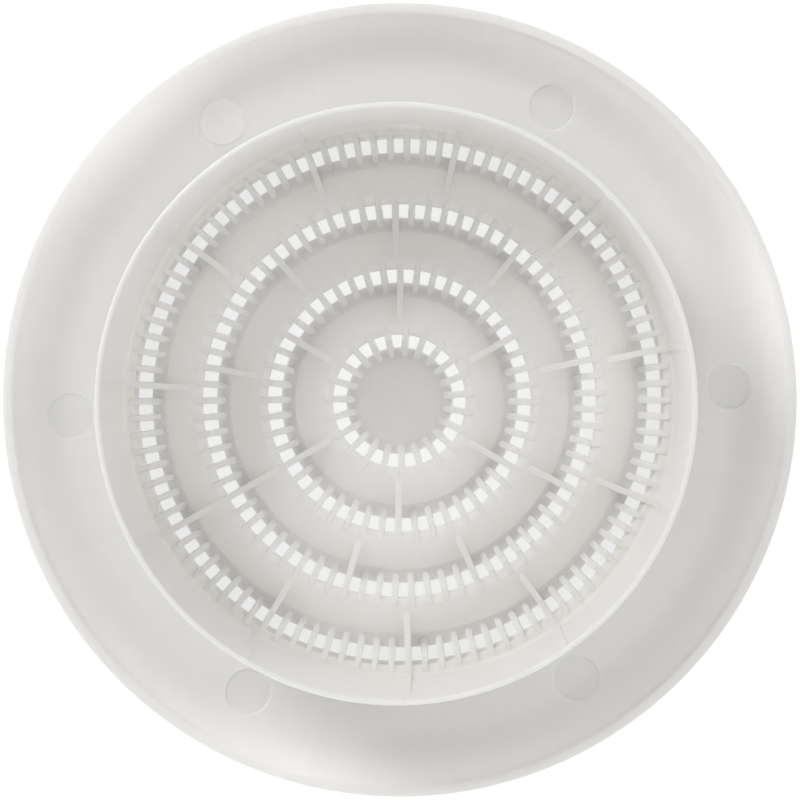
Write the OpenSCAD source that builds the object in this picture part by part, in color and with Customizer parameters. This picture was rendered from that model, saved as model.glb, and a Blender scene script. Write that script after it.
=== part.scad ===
// Round ceiling vent cover. One moulding: a dished flange that hides the edge of the hole, a thin
// spigot that plugs into the duct, and inside it a set of stepped ring louvres held together by
// short radial bars. The ceiling plane is z = 0, the duct is above it, and the room is below.

/* [Flange] */
// outside diameter of the cover
cover_d = 210; // [200:1:240]
// width of the flat ring that touches the ceiling
seat_w = 2.6; // [1.5:0.1:5]
// drop from the seat to where the dish starts
seat_step = 1.4; // [0.6:0.1:2.5]
// how far the drop leans outward
seat_slope = 0.7; // [0.2:0.1:1.5]
// depth of the dish behind the ceiling plane
dish_depth = 8; // [5:0.5:12]
// width of the level ring between the spigot and the dish
level_w = 12.8; // [8:0.1:16]
// thickness at the rim's outer edge
rim_edge = 2; // [1.2:0.1:3]
// wall thickness of the flange and the louvres
wall = 1.8; // [1.2:0.1:2.5]
// bevel on the front edges that face the room
front_bevel = 0.8; // [0.2:0.1:1]

/* [Spigot] */
// outside diameter of the spigot, a little under the duct's bore
spigot_d = 149.4; // [140:0.1:155]
// how far the spigot reaches above the ceiling plane
spigot_h = 38; // [15:1:80]
// wall thickness of the spigot
spigot_wall = 1.4; // [1:0.1:2.5]
// lead-in chamfer on the spigot's free edge
lead_in = 0.5; // [0.2:0.1:0.8]

/* [Ring louvres] */
// diameter of the closed disc in the middle
hub_d = 28.6; // [20:0.2:40]
// number of rings of openings
ring_count = 4; // [3:1:5]
// radial width of each ring of openings
gap_w = 3.35; // [2.5:0.05:4.5]
// how far each louvre's inner lip stands above its outer ledge
louvre_rise = 5; // [3:0.5:6]
// width of the flat lip at each louvre's inner edge
lip_w = 2.3; // [1.5:0.1:3]
// width of the flat ledge at each louvre's outer edge
ledge_w = 3.8; // [2.8:0.1:4.5]
// drop from the louvre's curve to its ledge
ledge_step = 0.8; // [0.4:0.1:1.2]
// part of a louvre's fall that is an even slope: the rest steepens toward the ledge
even_slope = 0.35; // [0:0.05:1]
// width of the border between the last opening and the spigot
border_w = 2.9; // [2.4:0.1:4]
// how far the thin edge of the border reaches into the last ring of openings
thin_edge_w = 1.35; // [0.8:0.05:1.6]
// thickness of that edge
thin_edge_t = 0.7; // [0.5:0.1:1]
// how much of that edge hangs over the last ring of openings
thin_edge_over = 0.55; // [0.2:0.05:0.8]

/* [Bars and ribs] */
// width of the short bars that join one louvre to the next
bar_w = 1.85; // [1.4:0.05:2.4]
// spacing of the bars, measured along the middle of each opening
bar_pitch = 4.36; // [4:0.02:6]
// how far a bar runs in over the ledge
bar_grip_in = 2.5; // [1.5:0.1:2.7]
// how far a bar runs out over the next lip
bar_grip_out = 2.2; // [1:0.1:2.8]
// how far the tops of the bars stand above the lips
bar_proud = 0.5; // [0.2:0.1:1]
// height of a bar's inner end above the ledge
bar_toe = 0.6; // [0.2:0.1:1]
// where the top of a bar levels out, as a part of the opening's width
bar_level = 0.6; // [0.2:0.05:1]
// width of the long ribs
rib_w = 1.9; // [1.4:0.05:2.4]
// wanted spacing of the long ribs round a ring
rib_pitch = 38.4; // [30:0.2:60]
// how far a long rib stops short of its own louvre's inner edge
rib_stop = 3.8; // [3:0.1:4.5]
// how far the ribs stand out from the spigot's wall
wall_rib_t = 1.5; // [0.8:0.1:2]
// how far the wall ribs stop short of the spigot's free edge
wall_rib_stop = 1; // [0.8:0.1:5]
// direction of the bar that every ring has in line
first_bar_angle = 210; // [0:1:359]

/* [Moulding marks] */
// number of ejector marks round the flange
mark_count = 6; // [3:1:8]
// diameter of an ejector mark
mark_d = 11.5; // [6:0.5:12]
// depth of an ejector mark below the dish
mark_depth = 0.2; // [0.1:0.05:0.4]
// distance from the spigot to the middle of an ejector mark
mark_out = 13.5; // [11:0.1:16]
// direction of the first ejector mark
mark_angle = 3; // [0:1:359]
// diameter of the gate mark in the middle of the hub
gate_d = 1.3; // [1:0.1:3]
// height of the gate mark
gate_h = 0.3; // [0.1:0.1:0.6]

/* [Hidden] */
plastic = [0.9, 0.9, 0.87];
curve_steps = 4;
round_steps = 180;
mark_steps = 48;
// how far a bar or rib is rooted in the wall that carries it
root = wall / 3;
cover_r = cover_d / 2;
spigot_r = spigot_d / 2;
bore_r = spigot_r - spigot_wall;
hub_r = hub_d / 2;
mark_r = spigot_r + mark_out;
ledge_z = -dish_depth;
front_z = ledge_z - wall;
lip_z = ledge_z + louvre_rise;
bar_top_z = lip_z + bar_proud;
// the dish runs between these two radii
dish_flat_r = spigot_r + level_w;
dish_start_r = cover_r - seat_w - seat_slope;
// radius where the border begins
border_r = bore_r - border_w;
// outer edge of the last louvre and of the disc in the middle: the others are spaced between them
last_edge_r = border_r - thin_edge_w + thin_edge_over - gap_w;
ring_pitch = (last_edge_r - hub_r) / (ring_count - 1);

// radius of the ledge's edge on the inner side of opening ring k, counted from 1
function edge_r(k) = hub_r + (k - 1) * ring_pitch;
// radius of the lip on the outer side of opening ring k
function next_lip_r(k) = edge_r(k) + gap_w;
// whole bars that fit round ring k at the wanted pitch
function bar_count(k) = round(2 * PI * (edge_r(k) + gap_w / 2) / bar_pitch);
// long ribs behind the louvre inside ring k: the disc in the middle needs none
function rib_count(k) = k == 1 ? 0 : round(2 * PI * next_lip_r(k) / rib_pitch);
// bars from one long rib to the next, counted clockwise from the first bar
function rib_step(k) = round(bar_count(k) / rib_count(k));
// does bar i of ring k carry a long rib?
function is_rib(k, i) = k > 1 && i % rib_step(k) == 0 && i / rib_step(k) < rib_count(k);
// a louvre's fall from its lip, as u runs from 0 at the lip to 1 at the ledge
function louvre_fall(u) = (louvre_rise - ledge_step) * (even_slope * u + (1 - even_slope) * u * u);
// a point on the back of louvre k's curve
function curve_point(k, u) = [
    next_lip_r(k - 1) + lip_w + u * (edge_r(k) - ledge_w - next_lip_r(k - 1) - lip_w),
    lip_z - louvre_fall(u)
];
// height of the back of the dish, as u runs from 0 at its inner edge to 1 at the seat
function dish_z(u) = ledge_z + (dish_depth - seat_step) * u * u;
// a point on the back of the dish
function dish_point(u) = [dish_flat_r + u * (dish_start_r - dish_flat_r), dish_z(u)];

// section of louvre k, the ring between opening rings k - 1 and k
module louvre_section(k) {
    back = [for (i = [0:curve_steps]) curve_point(k, i / curve_steps)];
    front = [for (i = [curve_steps:-1:0]) curve_point(k, i / curve_steps) - [0, wall]];
    polygon(concat(
        [[next_lip_r(k - 1), lip_z]],
        back,
        [
            [edge_r(k) - ledge_w, ledge_z],
            [edge_r(k), ledge_z],
            [edge_r(k), front_z],
            [edge_r(k) - ledge_w + front_bevel, front_z]
        ],
        front,
        [[next_lip_r(k - 1), lip_z - wall]]
    ));
}

// section of the flange, the spigot and the border of the last ring of openings
module shell_section() {
    dish = [for (i = [0:curve_steps]) dish_point(i / curve_steps)];
    front = [for (i = [curve_steps:-1:0]) dish_point(i / curve_steps) - [0, wall]];
    polygon(concat(
        [
            [border_r, lip_z],
            [bore_r, lip_z],
            [bore_r, spigot_h],
            [spigot_r - lead_in, spigot_h],
            [spigot_r, spigot_h - lead_in],
            [spigot_r, ledge_z]
        ],
        dish,
        [
            [cover_r - seat_w, 0],
            [cover_r, 0],
            [cover_r, -rim_edge]
        ],
        front,
        [
            [bore_r + front_bevel, front_z],
            [bore_r, front_z + front_bevel],
            [bore_r, lip_z - wall],
            [border_r - thin_edge_w, lip_z - wall],
            [border_r - thin_edge_w, lip_z - wall + thin_edge_t],
            [border_r, lip_z - wall + thin_edge_t]
        ]
    ));
}

// an upright slab on the +X axis, w wide, with the given side view
module side_slab(points, w) {
    translate([0, w / 2, 0])
        rotate([90, 0, 0])
            linear_extrude(w)
                polygon(points);
}

// a short bar of ring k: it rises off the ledge, crosses the opening and lies over the next lip
module bar(k) {
    inner_r = edge_r(k) - bar_grip_in;
    outer_r = next_lip_r(k) + bar_grip_out;
    side_slab([
        [inner_r, ledge_z + bar_toe],
        [edge_r(k) + gap_w * bar_level, bar_top_z],
        [outer_r, bar_top_z],
        [outer_r, lip_z - root],
        [next_lip_r(k) + root, lip_z - wall + root / 2],
        [edge_r(k) - root, front_z + root / 2],
        [inner_r, ledge_z - root]
    ], bar_w);
}

// a long rib behind louvre k, which ends as a bar does beyond ring k
module rib(k) {
    inner_r = next_lip_r(k - 1) + rib_stop;
    outer_r = next_lip_r(k) + bar_grip_out;
    side_slab([
        [inner_r, bar_top_z],
        [outer_r, bar_top_z],
        [outer_r, lip_z - root],
        [next_lip_r(k) + root, lip_z - wall + root / 2],
        [edge_r(k) - root, front_z + root / 2],
        [edge_r(k) - ledge_w, ledge_z - root],
        [inner_r, lip_z - wall + root / 2]
    ], rib_w);
}

// the last ring's ribs go on over the border and up the spigot's wall
module wall_rib(k) {
    inner_r = next_lip_r(k) + bar_grip_out - rib_w;
    side_slab([
        [inner_r, bar_top_z],
        [bore_r - wall_rib_t, bar_top_z],
        [bore_r - wall_rib_t, spigot_h - wall_rib_stop - wall_rib_t],
        [bore_r, spigot_h - wall_rib_stop],
        [bore_r + spigot_wall / 2, spigot_h - wall_rib_stop],
        [bore_r + spigot_wall / 2, lip_z - root],
        [inner_r, lip_z - root]
    ], rib_w);
}

// all the bars and ribs of ring k
module bar_ring(k) {
    for (i = [0:bar_count(k) - 1])
        rotate([0, 0, first_bar_angle - i * 360 / bar_count(k)])
            if (is_rib(k, i)) {
                rib(k);
                if (k == ring_count)
                    wall_rib(k);
            } else {
                bar(k);
            }
}

// flange, spigot and border, with the ejector marks sunk into the dish
module shell() {
    // each mark is level, and its inner side is mark_depth below the dish
    mark_u = max(0, (mark_r - mark_d / 2 - dish_flat_r) / (dish_start_r - dish_flat_r));
    difference() {
        rotate_extrude($fn = round_steps)
            shell_section();
        for (i = [0:mark_count - 1])
            rotate([0, 0, mark_angle + i * 360 / mark_count])
                translate([mark_r, 0, dish_z(mark_u) - mark_depth])
                    cylinder(h = dish_depth, d = mark_d, $fn = mark_steps);
    }
}

// the closed disc in the middle, with the gate mark on it
module hub() {
    translate([0, 0, front_z])
        cylinder(h = wall, r = hub_r, $fn = round_steps);
    translate([0, 0, ledge_z - root])
        cylinder(h = root + gate_h, d = gate_d, $fn = mark_steps);
}

// louvre k with nothing on it
module louvre(k) {
    rotate_extrude($fn = round_steps)
        louvre_section(k);
}

module vent_cover() {
    color(plastic) {
        shell();
        hub();
        for (k = [2:ring_count])
            louvre(k);
        for (k = [1:ring_count])
            bar_ring(k);
    }
}

vent_cover();
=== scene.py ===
from math import cos, hypot, pi, radians, sin

import bmesh
import bpy
from mathutils import Matrix, Vector


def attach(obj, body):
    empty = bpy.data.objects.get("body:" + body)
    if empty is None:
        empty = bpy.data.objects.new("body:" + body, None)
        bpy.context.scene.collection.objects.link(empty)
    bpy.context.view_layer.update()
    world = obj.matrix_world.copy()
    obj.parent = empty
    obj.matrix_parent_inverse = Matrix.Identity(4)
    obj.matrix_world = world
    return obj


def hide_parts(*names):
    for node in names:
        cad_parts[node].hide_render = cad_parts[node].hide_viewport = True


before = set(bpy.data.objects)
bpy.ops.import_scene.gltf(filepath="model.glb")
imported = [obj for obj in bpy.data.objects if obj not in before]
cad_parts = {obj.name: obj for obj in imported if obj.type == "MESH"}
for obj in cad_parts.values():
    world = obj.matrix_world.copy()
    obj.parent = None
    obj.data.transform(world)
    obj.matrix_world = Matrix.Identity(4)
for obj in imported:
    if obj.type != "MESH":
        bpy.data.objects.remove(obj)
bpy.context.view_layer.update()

# FLANGE AND SPIGOT. The flange is a shallow dish that hides the edge of the hole in the ceiling, and
# the spigot is the thin upright tube that plugs into the duct. Both are walls of the one white
# injection moulding. Each turned form is made as on a lathe: its section is drawn, rounded and spun.
# A point is drawn flat_edge away from each rounded corner, so that the wall beyond it stays flat.
cover_r = 0.105
seat_w = 0.0026
seat_step = 0.0014
rim_edge = 0.002
wall = 0.0018
spigot_r = 0.0747
spigot_wall = 0.0014
spigot_h = 0.038
ledge_z = -0.008
front_z = ledge_z - wall
lip_z = -0.003
bore_r = spigot_r - spigot_wall
border_r = bore_r - 0.0029
border_draft = 0.00035
border_foot_r = border_r - border_draft
foot_bevel = 0.0004
mouth_round = 0.0006
border_fillet = 0.0012
small_fillet = 0.0005
edge_round = 0.0003
flat_edge = 0.0018
spigot_facets = 288


def select(thing, kind, wanted):
    """In edit mode, selects the vertices, edges or faces that pass the test, and nothing else."""
    bpy.ops.mesh.select_mode(type=kind)
    bpy.ops.mesh.select_all(action="DESELECT")
    mesh = bmesh.from_edit_mesh(thing.data)
    for part in {"VERT": mesh.verts, "EDGE": mesh.edges, "FACE": mesh.faces}[kind]:
        if wanted(part):
            part.select_set(True)
    mesh.select_flush_mode()
    bmesh.update_edit_mesh(thing.data)


def draw_section(name, outline):
    """A flat face in the XZ plane, drawn by extruding one vertex from corner to corner."""
    bpy.ops.object.select_all(action="DESELECT")
    bpy.ops.mesh.primitive_plane_add(size=0.001, location=(0, 0, 0))
    section = bpy.context.object
    section.name = section.data.name = name
    bpy.ops.object.mode_set(mode="EDIT")
    bpy.ops.mesh.select_mode(type="VERT")
    bpy.ops.mesh.select_all(action="SELECT")
    bpy.ops.mesh.merge(type="CENTER")
    bpy.ops.transform.translate(value=(outline[0][0], 0, outline[0][1]))
    for (r0, z0), (r1, z1) in zip(outline, outline[1:]):
        bpy.ops.mesh.extrude_region_move(TRANSFORM_OT_translate={"value": (r1 - r0, 0, z1 - z0)})
    bpy.ops.mesh.select_all(action="SELECT")
    bpy.ops.mesh.edge_face_add()
    return section


def round_corners(section, corners, radius, segments=2):
    """Rounds the corners of a drawn section that lie at the given places."""
    select(section, "VERT", lambda v: any(hypot(v.co.x - r, v.co.z - z) < 1e-5 for r, z in corners))
    bpy.ops.mesh.bevel(offset=radius, offset_type="OFFSET", segments=segments, affect="VERTICES")


def spin_section(section, steps):
    """Turns a drawn section into a closed solid of revolution about the cover's axis."""
    bpy.ops.mesh.select_mode(type="VERT")
    bpy.ops.mesh.select_all(action="SELECT")
    bpy.ops.mesh.delete(type="ONLY_FACE")
    bpy.ops.mesh.select_all(action="SELECT")
    bpy.ops.mesh.spin(steps=steps, angle=2 * pi, center=(0, 0, 0), axis=(0, 0, 1))
    bpy.ops.mesh.select_all(action="SELECT")
    bpy.ops.mesh.remove_doubles(threshold=2e-6)
    bpy.ops.mesh.delete_loose()
    bpy.ops.mesh.select_all(action="SELECT")
    bpy.ops.mesh.normals_make_consistent(inside=False)
    bpy.ops.object.mode_set(mode="OBJECT")


dish_steps = 16
dish_flat_w = 0.0128
seat_slope_w = 0.0007
dish_flat_r = spigot_r + dish_flat_w
dish_start_r = cover_r - seat_w - seat_slope_w
dish = [
    (
        dish_flat_r + (dish_start_r - dish_flat_r) * i / dish_steps,
        ledge_z - (ledge_z + seat_step) * (i / dish_steps) ** 2,
    )
    for i in range(dish_steps + 1)
]
front = [(r, z - wall) for r, z in reversed(dish)]
moulding = draw_section("moulding", [
    (border_r, lip_z),
    (bore_r, lip_z),
    (bore_r, lip_z + flat_edge),
    (bore_r, spigot_h - flat_edge),
    (bore_r, spigot_h),
    (spigot_r, spigot_h),
    (spigot_r, spigot_h - flat_edge),
    (spigot_r, ledge_z + flat_edge),
    (spigot_r, ledge_z),
    (spigot_r + flat_edge, ledge_z),
    *dish,
    (cover_r - seat_w, 0),
    (cover_r, 0),
    (cover_r, -rim_edge),
    *front,
    (border_foot_r + foot_bevel, front_z),
    (border_foot_r, front_z + foot_bevel),
])
round_corners(moulding, [(bore_r, spigot_h), (spigot_r, spigot_h)], mouth_round, 4)
round_corners(moulding, [(bore_r, lip_z)], border_fillet, 4)
round_corners(moulding, [(spigot_r, ledge_z), (dish_start_r, -seat_step)], small_fillet, 3)
round_corners(moulding, [(cover_r - seat_w, 0), (cover_r, 0), (border_r, lip_z)], edge_round)
spin_section(moulding, spigot_facets)

# LOUVRES AND DISC. Inside the spigot the face of the cover is a closed disc with three stepped rings
# round it. Each ring rises from a flat ledge at its outer edge to a lip that hides the opening behind
# it, so that nobody in the room looks up into the duct. They are walls of the same moulding.
hub_r = 0.0143
gap_w = 0.00335
ring_count = 4
lip_w = 0.0023
ledge_w = 0.0038
ledge_step = 0.0008
slope_steps = 14
straight_share = 0.35
curved_share = 0.65
fine_round = 0.0002
front_bevel = 0.0008
border_gap = 0.0008
last_edge_r = border_r - border_gap - gap_w
edge_r = [hub_r + (last_edge_r - hub_r) * k / (ring_count - 1) for k in range(ring_count)]


def louvre_outline(lip_r, outer_r):
    """The section of the louvre between a lip at lip_r and a ledge that ends at outer_r."""
    back = []
    for i in range(slope_steps + 1):
        u = i / slope_steps
        back.append((
            lip_r + lip_w + (outer_r - ledge_w - lip_r - lip_w) * u,
            lip_z - (lip_z - ledge_z - ledge_step) * (straight_share * u + curved_share * u * u),
        ))
    return [
        (lip_r, lip_z),
        *back,
        (outer_r - ledge_w, ledge_z),
        (outer_r, ledge_z),
        (outer_r, front_z),
        (outer_r - ledge_w + front_bevel, front_z),
        *[(r, z - wall) for r, z in reversed(back)],
        (lip_r, lip_z - wall),
    ]


def add_to_moulding(piece, how="UNION"):
    """Fuses a piece into the moulding, or cuts it away, and drops what is left of it."""
    bpy.ops.object.select_all(action="DESELECT")
    bpy.context.view_layer.objects.active = moulding
    moulding.select_set(True)
    fuse = moulding.modifiers.new("fuse", "BOOLEAN")
    fuse.operation = how
    fuse.solver = "MANIFOLD"
    fuse.object = piece
    bpy.ops.object.modifier_apply(modifier=fuse.name)
    bpy.data.objects.remove(piece)


def join(pieces, name):
    """Several separate pieces as one object."""
    bpy.ops.object.select_all(action="DESELECT")
    for piece in pieces:
        piece.select_set(True)
    bpy.context.view_layer.objects.active = pieces[0]
    bpy.ops.object.join()
    pieces[0].name = pieces[0].data.name = name
    return pieces[0]


rings = []
for ring in range(1, ring_count):
    lip_r, outer_r = edge_r[ring - 1] + gap_w, edge_r[ring]
    louvre = draw_section(f"louvre_{ring}", louvre_outline(lip_r, outer_r))
    round_corners(louvre, [(outer_r, ledge_z), (lip_r, lip_z)], fine_round)
    round_corners(louvre, [(lip_r + lip_w, lip_z)], fine_round)
    round_corners(louvre, [(outer_r - ledge_w, ledge_z)], edge_round)
    spin_section(louvre, 160 + 32 * ring)
    rings.append(louvre)

# The plastic ran into the mould at the middle of the disc, where the cut gate left a small raised ring.
gate_r = 0.00065
disc_edge = 0.0006
disc = draw_section("disc", [
    (0, ledge_z + 0.0001),
    (gate_r * 0.4, ledge_z + 0.00012),
    (gate_r * 0.7, ledge_z + 0.0003),
    (gate_r, ledge_z + 0.00022),
    (gate_r * 1.15, ledge_z),
    (gate_r * 1.6, ledge_z),
    (hub_r - disc_edge, ledge_z),
    (hub_r, ledge_z),
    (hub_r, front_z),
    (0, front_z),
])
round_corners(disc, [(hub_r, ledge_z), (hub_r, front_z)], fine_round)
spin_section(disc, 128)
rings.append(disc)

# BARS. Short radial bars join each louvre to the next across the opening between them. The moulder
# leaves them round at both ends: low on the ledge, rising to lie over the next lip, and a little
# narrower on top so that they leave the mould.
bar_w = 0.0019
bar_stands_up = 0.0005
bar_top_z = lip_z + bar_stands_up
bar_on_ledge = 0.0026
bar_on_lip = 0.0024
bar_pitch = 0.00436
bar_draft = 0.12
bar_nose = 0.8
top_round = 0.00016
first_bar_angle = radians(210)
root = wall / 3


def slab(name, outline, width):
    """A drawn side view, extruded to an upright slab that is centred on the +X axis."""
    piece = draw_section(name, outline)
    bpy.ops.mesh.extrude_region_move(TRANSFORM_OT_translate={"value": (0, width, 0)})
    bpy.ops.mesh.select_all(action="SELECT")
    bpy.ops.transform.translate(value=(0, -width / 2, 0))
    bpy.ops.mesh.normals_make_consistent(inside=False)
    return piece


def taper_top(piece, top_z, base_z, narrow):
    """Draws in the sides of a slab toward its top, as the draft of the mould does."""
    mesh = bmesh.from_edit_mesh(piece.data)
    for vert in mesh.verts:
        vert.co.y *= 1 - narrow * max(0, min(1, (vert.co.z - base_z) / (top_z - base_z)))
    bmesh.update_edit_mesh(piece.data)


def round_end(piece, x, radius):
    """Rounds the two upright edges of a slab at x."""
    select(piece, "EDGE", lambda e: all(abs(v.co.x - x) < 1e-5 for v in e.verts)
           and abs(e.verts[0].co.z - e.verts[1].co.z) > 1e-5)
    bpy.ops.mesh.bevel(offset=radius, offset_type="OFFSET", segments=4, affect="EDGES")


def soften_top(piece, above, width):
    """A small round along the upper edges of a slab."""
    select(piece, "EDGE", lambda e: e.calc_face_angle(0) > 0.9
           and all(above(v.co) for v in e.verts))
    bpy.ops.mesh.bevel(offset=width, offset_type="OFFSET", segments=1, affect="EDGES")


def bar_of(ring):
    """The bar between ledge and lip at that ring of openings, lying on the +X axis."""
    edge = edge_r[ring]
    inner, outer = edge - bar_on_ledge, edge + gap_w + bar_on_lip
    piece = slab(f"bar_{ring}", [
        (inner, ledge_z + bar_stands_up),
        (edge + gap_w * 0.6, bar_top_z),
        (outer, bar_top_z),
        (outer, lip_z - root),
        (edge + gap_w + root, lip_z - wall + root / 2),
        (edge - root, front_z + root / 2),
        (inner, ledge_z - root),
    ], bar_w)
    taper_top(piece, bar_top_z, ledge_z, bar_draft)
    select(piece, "VERT", lambda v: v.co.x > outer - 1e-5)
    bpy.ops.transform.resize(value=(1, bar_nose, 1), center_override=(outer, 0, lip_z))
    round_end(piece, inner, bar_w * 0.495)
    round_end(piece, outer, bar_w * 0.33)
    soften_top(piece, lambda co: co.z > ledge_z + bar_stands_up + (co.x - inner) * 0.99 - 2e-4
               or co.z > bar_top_z - 1e-5, top_round)
    bpy.ops.mesh.select_all(action="SELECT")
    bpy.ops.mesh.remove_doubles(threshold=2e-6)
    bpy.ops.object.mode_set(mode="OBJECT")
    return piece


def copy_at(piece, angle):
    """A copy of a piece with its own mesh, turned about the cover's axis."""
    twin = bpy.data.objects.new(piece.name, piece.data.copy())
    bpy.context.collection.objects.link(twin)
    twin.data.transform(Matrix.Rotation(angle, 4, "Z"))
    return twin


# RIBS. Long ribs stiffen each louvre and end beyond the next opening as a bar does. The outermost ones
# go on over the border and up the inside of the spigot, almost to its free edge.
rib_w = 0.0018
rib_pitch = 0.0384
wall_rib_t = 0.0007
wall_rib_thin = 0.0002
wall_rib_top = spigot_h - 0.0004
rib_draft = 0.06
rib_start = 0.0038
joined_rib_start = 0.0012


def rib_of(ring, start):
    """The long rib behind the louvre inside that ring of openings, lying on the +X axis."""
    lip = edge_r[ring - 1] + gap_w
    inner, outer, edge = lip + start, edge_r[ring] + gap_w + bar_on_lip, edge_r[ring]
    under = [
        (edge + gap_w + root, lip_z - wall + root / 2),
        (edge - root, front_z + root / 2),
        (edge - ledge_w, ledge_z - root),
        (lip + rib_start, lip_z - wall + root / 2),
    ]
    if start < rib_start:
        under.append((inner, lip_z - wall + root / 2))
    if ring < ring_count - 1:
        piece = slab(f"rib_{ring}", [
            (inner, bar_top_z), (outer, bar_top_z), (outer, lip_z - root), *under], rib_w)
        round_end(piece, outer, rib_w * 0.43)
    else:
        wall_r, root_r = bore_r - wall_rib_t, bore_r + spigot_wall / 2
        piece = slab(f"rib_{ring}", [
            (inner, bar_top_z), (wall_r, bar_top_z), (bore_r - wall_rib_thin, wall_rib_top),
            (root_r, wall_rib_top), (root_r, lip_z - root), *under], rib_w)
    taper_top(piece, bar_top_z, ledge_z, rib_draft)
    round_end(piece, inner, rib_w * 0.45)
    bpy.ops.mesh.select_all(action="SELECT")
    bpy.ops.mesh.remove_doubles(threshold=2e-6)
    bpy.ops.object.mode_set(mode="OBJECT")
    return piece


# The walls are joined first, and then each ring of bars and ribs is fused to them. The first ribs of
# the two outermost rings start close behind the ribs inside them, so that the three read as one line.
moulding = join([moulding, *rings], "moulding")
for ring in range(ring_count):
    count = round(2 * pi * (edge_r[ring] + gap_w / 2) / bar_pitch)
    rib_count = 0 if ring == 0 else round(2 * pi * (edge_r[ring] + gap_w) / rib_pitch)
    between = round(count / rib_count) if rib_count else 0
    bars = []
    models = {"bar": bar_of(ring)}
    if rib_count:
        models["rib"] = rib_of(ring, rib_start)
        models["joined_rib"] = rib_of(ring, joined_rib_start)
    for i in range(count):
        kind = "bar"
        if rib_count and i % between == 0 and i // between < rib_count:
            kind = "rib" if i or ring == 1 else "joined_rib"
        bars.append(copy_at(models[kind], first_bar_angle - 2 * pi * i / count))
    for model in models.values():
        bpy.data.objects.remove(model)
    add_to_moulding(join(bars, f"bars_{ring}"))

# MOULDING MARKS. The pins that pushed the cover out of its mould left six discs round the flange. Their
# ends are shaped to the dish: five marks are a little below its surface, and one is a little proud.
mark_r = spigot_r + 0.0135
mark_size = 0.00575
mark_depth = 0.00038
mark_lean = 1.1
mark_count = 6
first_mark_angle = radians(3)
proud_mark = 2
mark_rings = 6
for i in range(mark_count):
    proud = i == proud_mark
    bottom, top = (-wall / 2, mark_depth) if proud else (-mark_depth, wall / 6)
    spread = mark_lean * (top - bottom)
    bpy.ops.object.select_all(action="DESELECT")
    bpy.ops.mesh.primitive_cone_add(
        vertices=96, radius1=mark_size + spread * proud, radius2=mark_size + spread * (not proud),
        depth=top - bottom, location=(0, 0, 0))
    pin = bpy.context.object
    bpy.ops.object.mode_set(mode="EDIT")
    select(pin, "FACE", lambda f: abs(f.normal.z) > 0.99)
    for _ in range(mark_rings - 1):
        bpy.ops.mesh.inset(thickness=mark_size / mark_rings)
    bpy.ops.mesh.poke()
    bpy.ops.mesh.select_all(action="SELECT")
    bpy.ops.transform.translate(value=(mark_r, 0, (bottom + top) / 2))
    mesh = bmesh.from_edit_mesh(pin.data)
    for vert in mesh.verts:
        rise = max(0, hypot(vert.co.x, vert.co.y) - dish_flat_r) / (dish_start_r - dish_flat_r)
        vert.co.z += ledge_z - (ledge_z + seat_step) * rise * rise
    bmesh.update_edit_mesh(pin.data)
    bpy.ops.object.mode_set(mode="OBJECT")
    pin.data.transform(Matrix.Rotation(first_mark_angle + 2 * pi * i / mark_count, 4, "Z"))
    add_to_moulding(pin, "UNION" if proud else "DIFFERENCE")

# The finish of the whole moulding: white polypropylene, satin from the mould, a little cloudy, with a
# fine even grain from the mould's surface and faint streaks in its tone that run out from the middle.


class Value:
    """A number that varies over a surface, so that sums of such numbers read as sums."""

    def __init__(self, nodes, socket):
        self.nodes, self.socket = nodes, socket

    def math(self, operation, *others):
        return self.nodes.add("ShaderNodeMath", {"operation": operation}, {
            i: value for i, value in enumerate([self, *others])})

    def __add__(self, other):
        return self.math("ADD", other)

    def __mul__(self, other):
        return self.math("MULTIPLY", other)

    def __sub__(self, other):
        return self.math("SUBTRACT", other)

    def __rsub__(self, other):
        return (self * -1) + other

    def __gt__(self, other):
        return self.math("GREATER_THAN", other)

    def __lt__(self, other):
        return self.math("LESS_THAN", other)

    __radd__ = __add__
    __rmul__ = __mul__


class Finish:
    """The nodes of a material or a world: each is added with its settings first and then its sockets."""

    def __init__(self, owner):
        owner.use_nodes = True
        self.owner = owner
        self.tree = owner.node_tree
        self.tree.nodes.clear()

    def add(self, kind, settings=None, sockets=None, out=0):
        node = self.tree.nodes.new(kind)
        for key, value in (settings or {}).items():
            setattr(node, key, value)
        for key, value in (sockets or {}).items():
            if isinstance(value, Value):
                self.tree.links.new(value.socket, node.inputs[key])
            else:
                node.inputs[key].default_value = value
        return Value(self, node.outputs[out]) if len(node.outputs) else None


dull_white = (0.872, 0.861, 0.838, 1)
clear_white = (0.922, 0.913, 0.894, 1)
smooth_angle = radians(32)
plastic = Finish(bpy.data.materials.new("white_plastic"))
place = plastic.add("ShaderNodeTexCoord", out=3)
cloud = plastic.add("ShaderNodeTexNoise", {}, {"Vector": place, "Scale": 22.0, "Detail": 2.0})
speckle = plastic.add("ShaderNodeTexNoise", {}, {"Vector": place, "Scale": 900.0, "Detail": 2.0})
grain = plastic.add("ShaderNodeTexNoise", {}, {"Vector": place, "Scale": 2600.0, "Detail": 1.0})
ripple = plastic.add("ShaderNodeTexNoise", {}, {"Vector": place, "Scale": 60.0, "Detail": 1.0})
spread_out = plastic.add("ShaderNodeVectorMath", {"operation": "MULTIPLY"}, {
    0: place, 1: (1.0, 1.0, 0.0)})
outward = plastic.add("ShaderNodeVectorMath", {"operation": "NORMALIZE"}, {0: spread_out})
radial_streaks = plastic.add("ShaderNodeTexNoise", {}, {"Vector": outward, "Scale": 26.0, "Detail": 1.0})
tone = plastic.add("ShaderNodeMix", {"data_type": "RGBA"}, {
    "Factor": cloud * 0.5 + radial_streaks * 0.5, 6: dull_white, 7: clear_white}, out=2)
bumps = plastic.add("ShaderNodeBump", {}, {
    "Strength": 0.12, "Distance": 0.0002, "Height": grain * 0.6 + ripple * 0.4})
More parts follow.
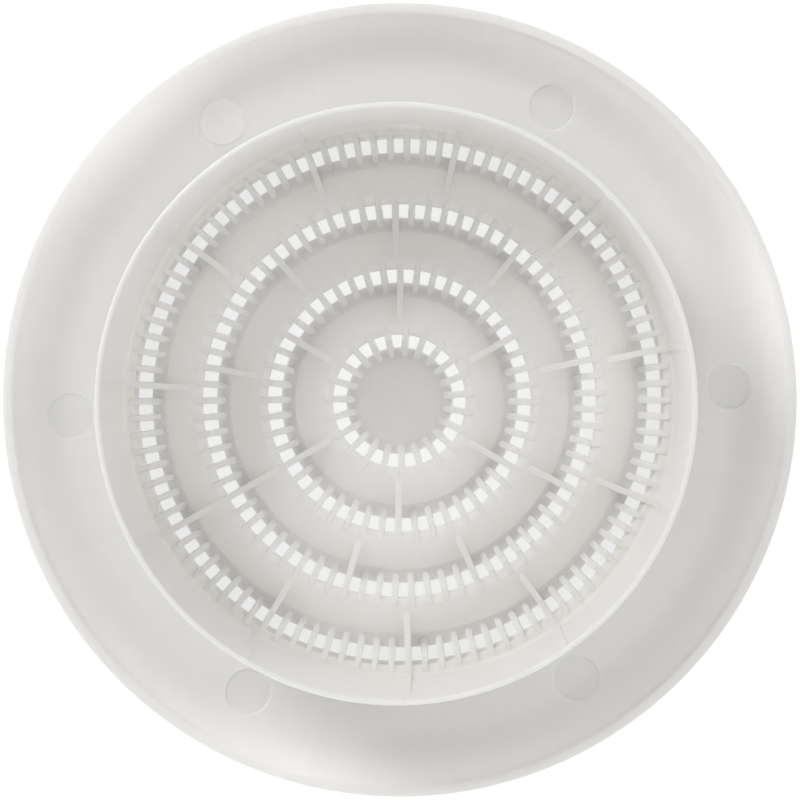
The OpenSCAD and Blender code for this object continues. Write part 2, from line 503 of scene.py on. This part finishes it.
shader = plastic.add("ShaderNodeBsdfPrincipled", {}, {
    "Base Color": tone,
    "Roughness": 0.38 + speckle * 0.12,
    "IOR": 1.49,
    "Subsurface Weight": 0.8,
    "Subsurface Radius": (1.0, 0.97, 0.92),
    "Subsurface Scale": 0.003,
    "Normal": bumps,
})
plastic.add("ShaderNodeOutputMaterial", {}, {"Surface": shader})

moulding.data.materials.clear()
moulding.data.materials.append(plastic.owner)
bpy.ops.object.select_all(action="DESELECT")
bpy.context.view_layer.objects.active = moulding
moulding.select_set(True)
bpy.ops.object.shade_smooth_by_angle(angle=smooth_angle)
moulding.name = moulding.data.name = "white_cover"
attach(moulding, "root")
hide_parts("vent_cover")

# TABLE. A white table under the cover. It glows so that it stays white round the cover. Under the cover
# the glow carries painted shade: it is dimmer where it shows through the openings, more so further out,
# it is painted black where the cover lies on it, and under the raised rim a painted soft shadow fades in.
table_w = 6
table_t = 0.03
table_z = front_z - 0.00005
table_white = (0.93, 0.93, 0.93, 1)
painted_rim_shadow_w = 0.009
painted_rim_shadow_past_rim = 0.0025
bpy.ops.object.select_all(action="DESELECT")
bpy.ops.mesh.primitive_cube_add(size=1, location=(0, 0, table_z), scale=(table_w, table_w, table_t))
bpy.ops.object.transform_apply(location=False, rotation=False, scale=True)
table = bpy.context.object
table.data.transform(Matrix.Translation((0, 0, -table_t / 2)))
table.name = "table"
white = Finish(bpy.data.materials.new("table_glow_painted_shade"))
reach = white.add("ShaderNodeVectorMath", {"operation": "LENGTH"}, {
    0: white.add("ShaderNodeVectorMath", {"operation": "MULTIPLY"}, {
        0: white.add("ShaderNodeTexCoord", out=3), 1: (1.0, 1.0, 5.0)})}, out=1)
ring_pitch = edge_r[1] - edge_r[0]
round_ring = (reach - hub_r).math("FLOORED_MODULO", ring_pitch)
# Painted contact shadow: the glow is black under the disc, under each ledge and under the flange, where
# the cover lies on the table.
lit = (reach > hub_r) * (border_r > reach) * (ring_pitch - ledge_w > round_ring)
# Painted shade in the openings: the glow there is dimmer than round the cover, and dimmer further out.
painted_shade_in_openings = 0.785 - reach * 1.2
under = white.add("ShaderNodeMix", {"data_type": "RGBA"}, {
    "Factor": lit * painted_shade_in_openings, 6: (0.0, 0.0, 0.0, 1), 7: (1.0, 1.0, 1.0, 1)}, out=2)
# Painted soft shadow under the raised rim: the glow fades in from black to white across the rim.
painted_rim_shadow = white.add("ShaderNodeMapRange", {"interpolation_type": "SMOOTHERSTEP"}, {
    "Value": reach, "From Min": dish_flat_r + painted_rim_shadow_w, "From Max": cover_r + painted_rim_shadow_past_rim})
glow_with_painted_shade = white.add("ShaderNodeMix", {"data_type": "RGBA"}, {
    "Factor": painted_rim_shadow * painted_rim_shadow, 6: under, 7: table_white}, out=2)
white.add("ShaderNodeOutputMaterial", {}, {"Surface": white.add("ShaderNodeBsdfPrincipled", {}, {
    "Base Color": (0.2, 0.2, 0.2, 1),
    "Roughness": 0.9,
    "Specular IOR Level": 0.0,
    "Emission Color": glow_with_painted_shade,
    "Emission Strength": 1.0,
})})
table.data.materials.append(white.owner)

# LIGHT. Soft lamps round the table at three heights and one above it, in a pale room. Those at the
# upper left of the picture are the strongest. The room's far walls look white and give little light.
room_light = (0.175, 0.175, 0.175, 1)
room = Finish(bpy.data.worlds.new("white_room"))
walls = room.add("ShaderNodeMix", {"data_type": "RGBA"}, {
    "Factor": room.add("ShaderNodeLightPath"), 6: room_light, 7: table_white}, out=2)
room.add("ShaderNodeOutputWorld", {}, {"Surface": room.add("ShaderNodeBackground", {}, {"Color": walls})})
bpy.context.scene.world = room.owner
lamp_distance = 2
lamp_size = 0.8


def lamp(azimuth, elevation, power, tint=(1, 1, 1)):
    """A round soft lamp that faces the cover. Azimuth runs counterclockwise from +X."""
    a, e = radians(azimuth), radians(elevation)
    name = f"lamp_{azimuth}_{elevation}"
    data = bpy.data.lights.new(name, "AREA")
    data.shape = "DISK"
    data.size = lamp_size
    data.energy = power
    data.color = tint
    thing = bpy.data.objects.new(name, data)
    bpy.context.collection.objects.link(thing)
    thing.location = lamp_distance * Vector((cos(e) * cos(a), cos(e) * sin(a), sin(e)))
    thing.rotation_euler = thing.location.to_track_quat("Z", "Y").to_euler()


for azimuth, elevation, power in [
    (135, 14, 4.8), (225, 14, 3.9), (255, 14, 4.7), (315, 14, 2.2),
    (135, 32, 15.6), (255, 32, 3.6), (15, 32, 7.3), (45, 32, 2.8), (285, 55, 3.4),
]:
    lamp(azimuth, elevation, power)
lamp(0, 90, 4.9, (1, 0.96, 0.935))

# CAMERA. It looks down from a little to the upper right of the axis, and leans back toward it so that
# the cover stands in the middle of the frame.
photo_px = 800
lens_px = 2225.15
eye = bpy.data.cameras.new("camera")
camera = bpy.data.objects.new("camera", eye)
bpy.context.collection.objects.link(camera)
camera.location = (0.012534, 0.012461, 0.587814)
camera.rotation_euler = (radians(-1.1279), radians(0.5943), radians(0.45))
eye.sensor_width = 36
eye.lens = 36 * lens_px / photo_px
eye.shift_x = -0.0296
eye.shift_y = -0.0022
eye.clip_start = 0.05
bpy.context.scene.camera = camera
bpy.context.scene.view_settings.view_transform = "Standard"
